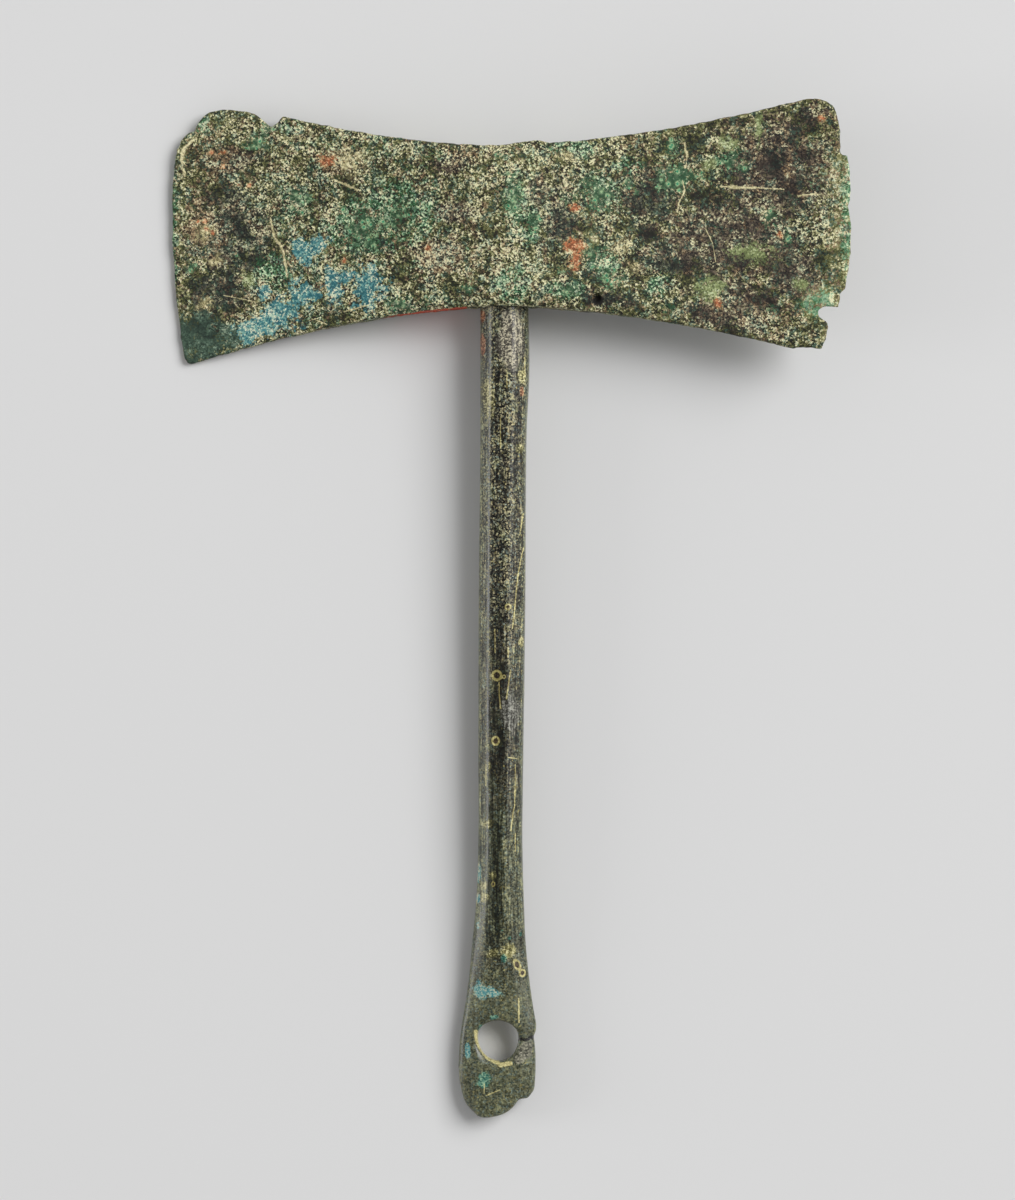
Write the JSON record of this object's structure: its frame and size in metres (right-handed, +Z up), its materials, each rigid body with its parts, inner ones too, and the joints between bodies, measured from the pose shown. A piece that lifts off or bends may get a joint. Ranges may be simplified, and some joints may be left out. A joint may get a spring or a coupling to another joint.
{
  "type": "bronze double axe head with rod handle",
  "caption": "Corroded bronze double axe: a flared two-edged head with a shaft hole, on a smooth rod handle that ends in a flattened, pierced eye.",
  "frame": {"origin": "on the surface that the piece lies on, under the middle of its outline", "axes": "+Y along the rod from its eye towards the head, +X along the head's span towards the raised wing, +Z up, out of the face that shows"},
  "size_m": [0.1132, 0.1698, 0.0123],
  "materials": {
    "crusted_bronze": "matte",
    "polished_bronze": "satin"
  },
  "bodies": {
    "root": {"axe_head": "crusted_bronze", "rod_handle": "polished_bronze"}
  },
  "joints": []
}
